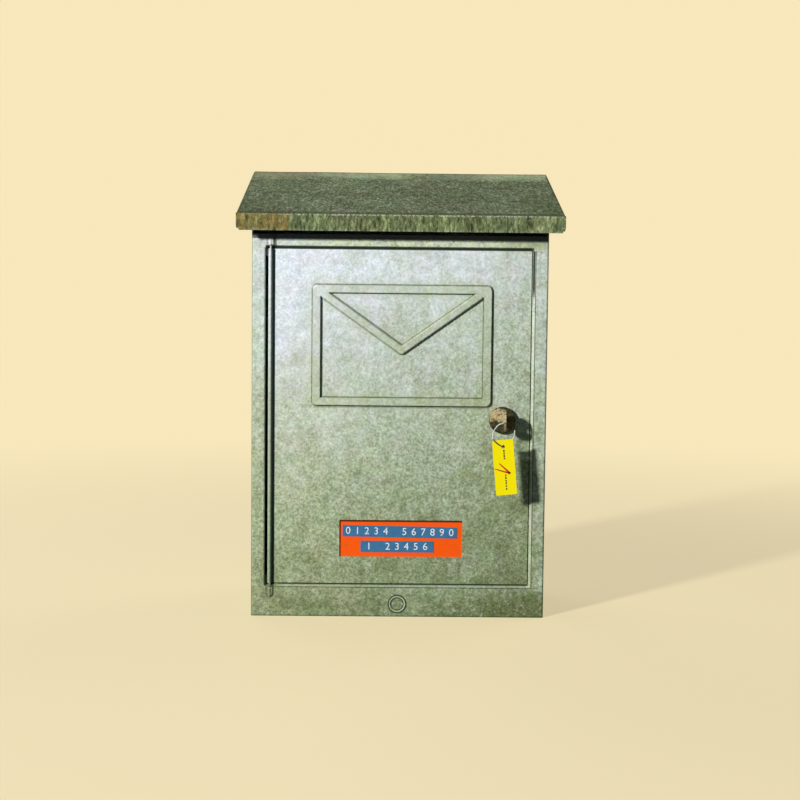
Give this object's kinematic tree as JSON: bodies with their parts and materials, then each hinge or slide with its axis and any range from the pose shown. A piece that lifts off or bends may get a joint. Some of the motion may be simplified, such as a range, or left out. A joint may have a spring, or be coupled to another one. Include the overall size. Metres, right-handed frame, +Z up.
{
  "type": "wall mailbox",
  "caption": "Weathered galvanised wall mailbox with a sloping hood, side-hinged pressed door, name window, cam lock with key and a hanging yellow tag.",
  "frame": {"origin": "centre of the casing's underside", "axes": "+Z up, -Y out of the door, +X to the right of someone facing the door"},
  "size_m": [0.264, 0.1331, 0.3784],
  "materials": {
    "casing_zinc": "weathered galvanised sheet with spangle and grime",
    "door_zinc": "weathered galvanised sheet with spangle and grime",
    "hood_zinc": "galvanised sheet, dark with moss and rust runs",
    "inner_zinc": "dull galvanised sheet",
    "pin_steel": "bare steel, brown with age",
    "fixing_steel": "dull zinc plate",
    "lock_brass": "dark tarnished brass",
    "plug_brass": "worn brass",
    "key_metal": "worn brass",
    "card_orange": "matt printed card",
    "tape_blue": "glossy stuck-on tape",
    "string_white": "twisted cotton",
    "tag_yellow": "matt card"
  },
  "bodies": {
    "casing": {"casing_shell": "casing_zinc", "bottom_pan": "inner_zinc", "back_panel": "inner_zinc", "back_rivets": "fixing_steel", "roof_hood": "hood_zinc", "hinge_pin": "pin_steel"},
    "door": {"door_panel": "door_zinc", "label_holder": "inner_zinc", "label_card": "card_orange", "label_tape_upper": "tape_blue", "label_tape_lower": "tape_blue", "lock_housing": "lock_brass", "lock_washer": "fixing_steel", "lock_nut": "fixing_steel"},
    "lock_core": {"lock_plug": "plug_brass", "lock_wafers": "plug_brass", "lock_cam": "fixing_steel", "cam_screw": "fixing_steel", "key": "key_metal"},
    "tag": {"tag_string": "string_white", "key_tag": "tag_yellow"}
  },
  "joints": [
    {"name": "door_swing", "type": "hinge", "parent": "casing", "child": "door", "pos_m": [-0.1056, -0.05358, 0.165], "axis": [0, 0, -1], "range_deg": [0, 160]},
    {"name": "lock_turn", "type": "hinge", "parent": "door", "child": "lock_core", "pos_m": [0.085, -0.0565, 0.1638], "axis": [0, -1, 0], "range_deg": [0, 90], "deforming": ["tag_string"]},
    {"name": "tag_swing", "type": "hinge", "parent": "door", "child": "tag", "pos_m": [0.085, -0.0741, 0.1638], "axis": [0, -1, 0], "range_deg": [-45, 45]}
  ]
}
